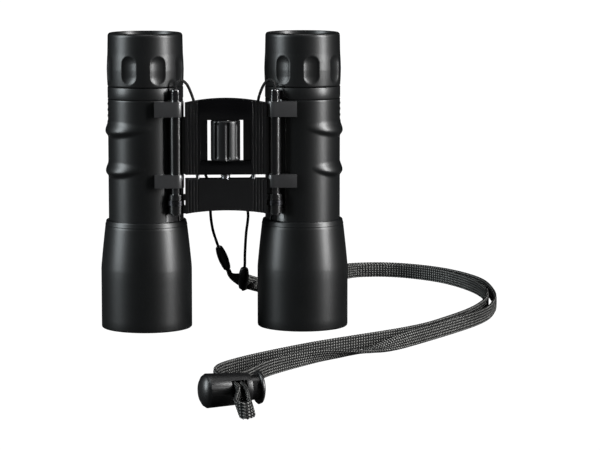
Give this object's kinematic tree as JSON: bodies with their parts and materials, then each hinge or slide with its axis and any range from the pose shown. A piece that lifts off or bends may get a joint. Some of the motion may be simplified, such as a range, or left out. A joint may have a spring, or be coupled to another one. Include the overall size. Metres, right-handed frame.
{
  "type": "folding binoculars",
  "caption": "Compact folding binoculars with two armoured barrels on twin hinges, a bridge with a focus wheel, and a braided neck strap with a spring cord lock.",
  "frame": {"origin": "centre of the two barrels' footprint, on the plane of the objective rims they stand on", "axes": "+X towards the right-hand barrel, +Y away from the bridge, towards the strap's beads, +Z along the barrels from the objectives to the eyecups"},
  "size_m": [0.1874, 0.3725, 0.1334],
  "materials": {
    "bridge_paint": "satin",
    "cover_paint": "gloss",
    "pin_black": "gloss",
    "rod_steel": "satin",
    "bearing_brass": "satin",
    "screw_steel": "satin",
    "wheel_rubber": "matt",
    "cord_nylon": "matt",
    "bead_plastic": "satin",
    "strap_nylon": "woven",
    "lock_plastic": "matt",
    "frame_paint": "satin",
    "armour_rubber": "satin",
    "shell_rubber": "satin",
    "eyecup_rubber": "satin",
    "cell_black": "matt black anodised",
    "lens_glass": "coated",
    "prism_glass": "polished",
    "ring_plastic": "matt",
    "arm_steel": "satin"
  },
  "bodies": {
    "bridge": {"upper_bridge": "bridge_paint", "bridge_cover": "cover_paint", "hinge_pin_left": "pin_black", "hinge_pin_right": "pin_black", "guide_rods": "rod_steel", "focus_bushes": "bearing_brass", "cord_left": "cord_nylon", "cord_right": "cord_nylon", "cord_bead_left": "bead_plastic", "cord_bead_right": "bead_plastic", "neck_strap": "strap_nylon", "cord_lock_body": "lock_plastic", "cord_lock_spring": "rod_steel"},
    "slider": {"lower_bridge": "bridge_paint", "focus_nut": "bearing_brass"},
    "focus_wheel": {"focus_knob": "wheel_rubber", "focus_screw": "screw_steel"},
    "left_barrel": {"left_frame": "frame_paint", "left_armour": "armour_rubber", "left_objective_shell": "shell_rubber", "left_collar": "eyecup_rubber", "left_eyecup": "eyecup_rubber", "left_eyepiece_cell": "cell_black", "left_eye_lens": "lens_glass", "left_field_lens": "lens_glass", "left_prism_cage": "cell_black", "left_roof_prism": "prism_glass", "left_half_prism": "prism_glass"},
    "left_objective": {"left_objective_cell": "cell_black", "left_objective_crown": "lens_glass", "left_objective_flint": "lens_glass", "left_lens_ring": "ring_plastic", "left_focus_arm": "arm_steel"},
    "right_barrel": {"right_frame": "frame_paint", "right_armour": "armour_rubber", "right_objective_shell": "shell_rubber", "right_collar": "eyecup_rubber", "right_prism_cage": "cell_black", "right_roof_prism": "prism_glass", "right_half_prism": "prism_glass"},
    "right_objective": {"right_objective_cell": "cell_black", "right_objective_crown": "lens_glass", "right_objective_flint": "lens_glass", "right_lens_ring": "ring_plastic", "right_focus_arm": "arm_steel"},
    "dioptre_ring": {"right_eyecup": "eyecup_rubber"},
    "right_eyepiece": {"right_eyepiece_cell": "cell_black", "right_eye_lens": "lens_glass", "right_field_lens": "lens_glass"},
    "lock_plunger": {"cord_lock_plunger": "lock_plastic"}
  },
  "joints": [
    {"name": "right_fold", "type": "hinge", "parent": "bridge", "child": "right_barrel", "pos_m": [0.0221, -0.0146, 0], "axis": [0, 0, 1], "range_deg": [0, 40]},
    {"name": "left_fold", "type": "hinge", "parent": "bridge", "child": "left_barrel", "pos_m": [-0.0221, -0.0146, 0], "axis": [0, 0, -1], "range_deg": [0, 40]},
    {"name": "focus_spin", "type": "hinge", "parent": "bridge", "child": "focus_wheel", "pos_m": [0, -0.0146, 0], "axis": [0, 0, 1], "range_deg": [-240.1, 240.1]},
    {"name": "slider_travel", "type": "slide", "parent": "bridge", "child": "slider", "axis": [0, 0, 1], "range_m": [-0.0016, 0.0016]},
    {"name": "left_focus_travel", "type": "slide", "parent": "left_barrel", "child": "left_objective", "axis": [0, 0, 1], "range_m": [-0.00161, 0.00161]},
    {"name": "right_focus_travel", "type": "slide", "parent": "right_barrel", "child": "right_objective", "axis": [0, 0, 1], "range_m": [-0.00161, 0.00161]},
    {"name": "dioptre_turn", "type": "hinge", "parent": "right_barrel", "child": "dioptre_ring", "pos_m": [0.0354, 0.0007, 0], "axis": [0, 0, 1], "range_deg": [-50, 50]},
    {"name": "dioptre_travel", "type": "slide", "parent": "right_barrel", "child": "right_eyepiece", "axis": [0, 0, 1], "range_m": [-0.00081, 0.00081]},
    {"name": "lock_press", "type": "slide", "parent": "bridge", "child": "lock_plunger", "axis": [-0.9511, -0.309, 0], "range_m": [0, 0.0024], "stiffness_N_per_m": 500, "springref_m": -0.002, "deforming": ["cord_lock_spring"]}
  ],
  "couplings": [
    {"joint": "focus_spin", "follows": "slider_travel", "rad_per_m": 2618},
    {"joint": "left_focus_travel", "follows": "slider_travel", "ratio": 1},
    {"joint": "right_focus_travel", "follows": "slider_travel", "ratio": 1},
    {"joint": "dioptre_travel", "follows": "dioptre_turn", "m_per_rad": 0.00091673}
  ]
}
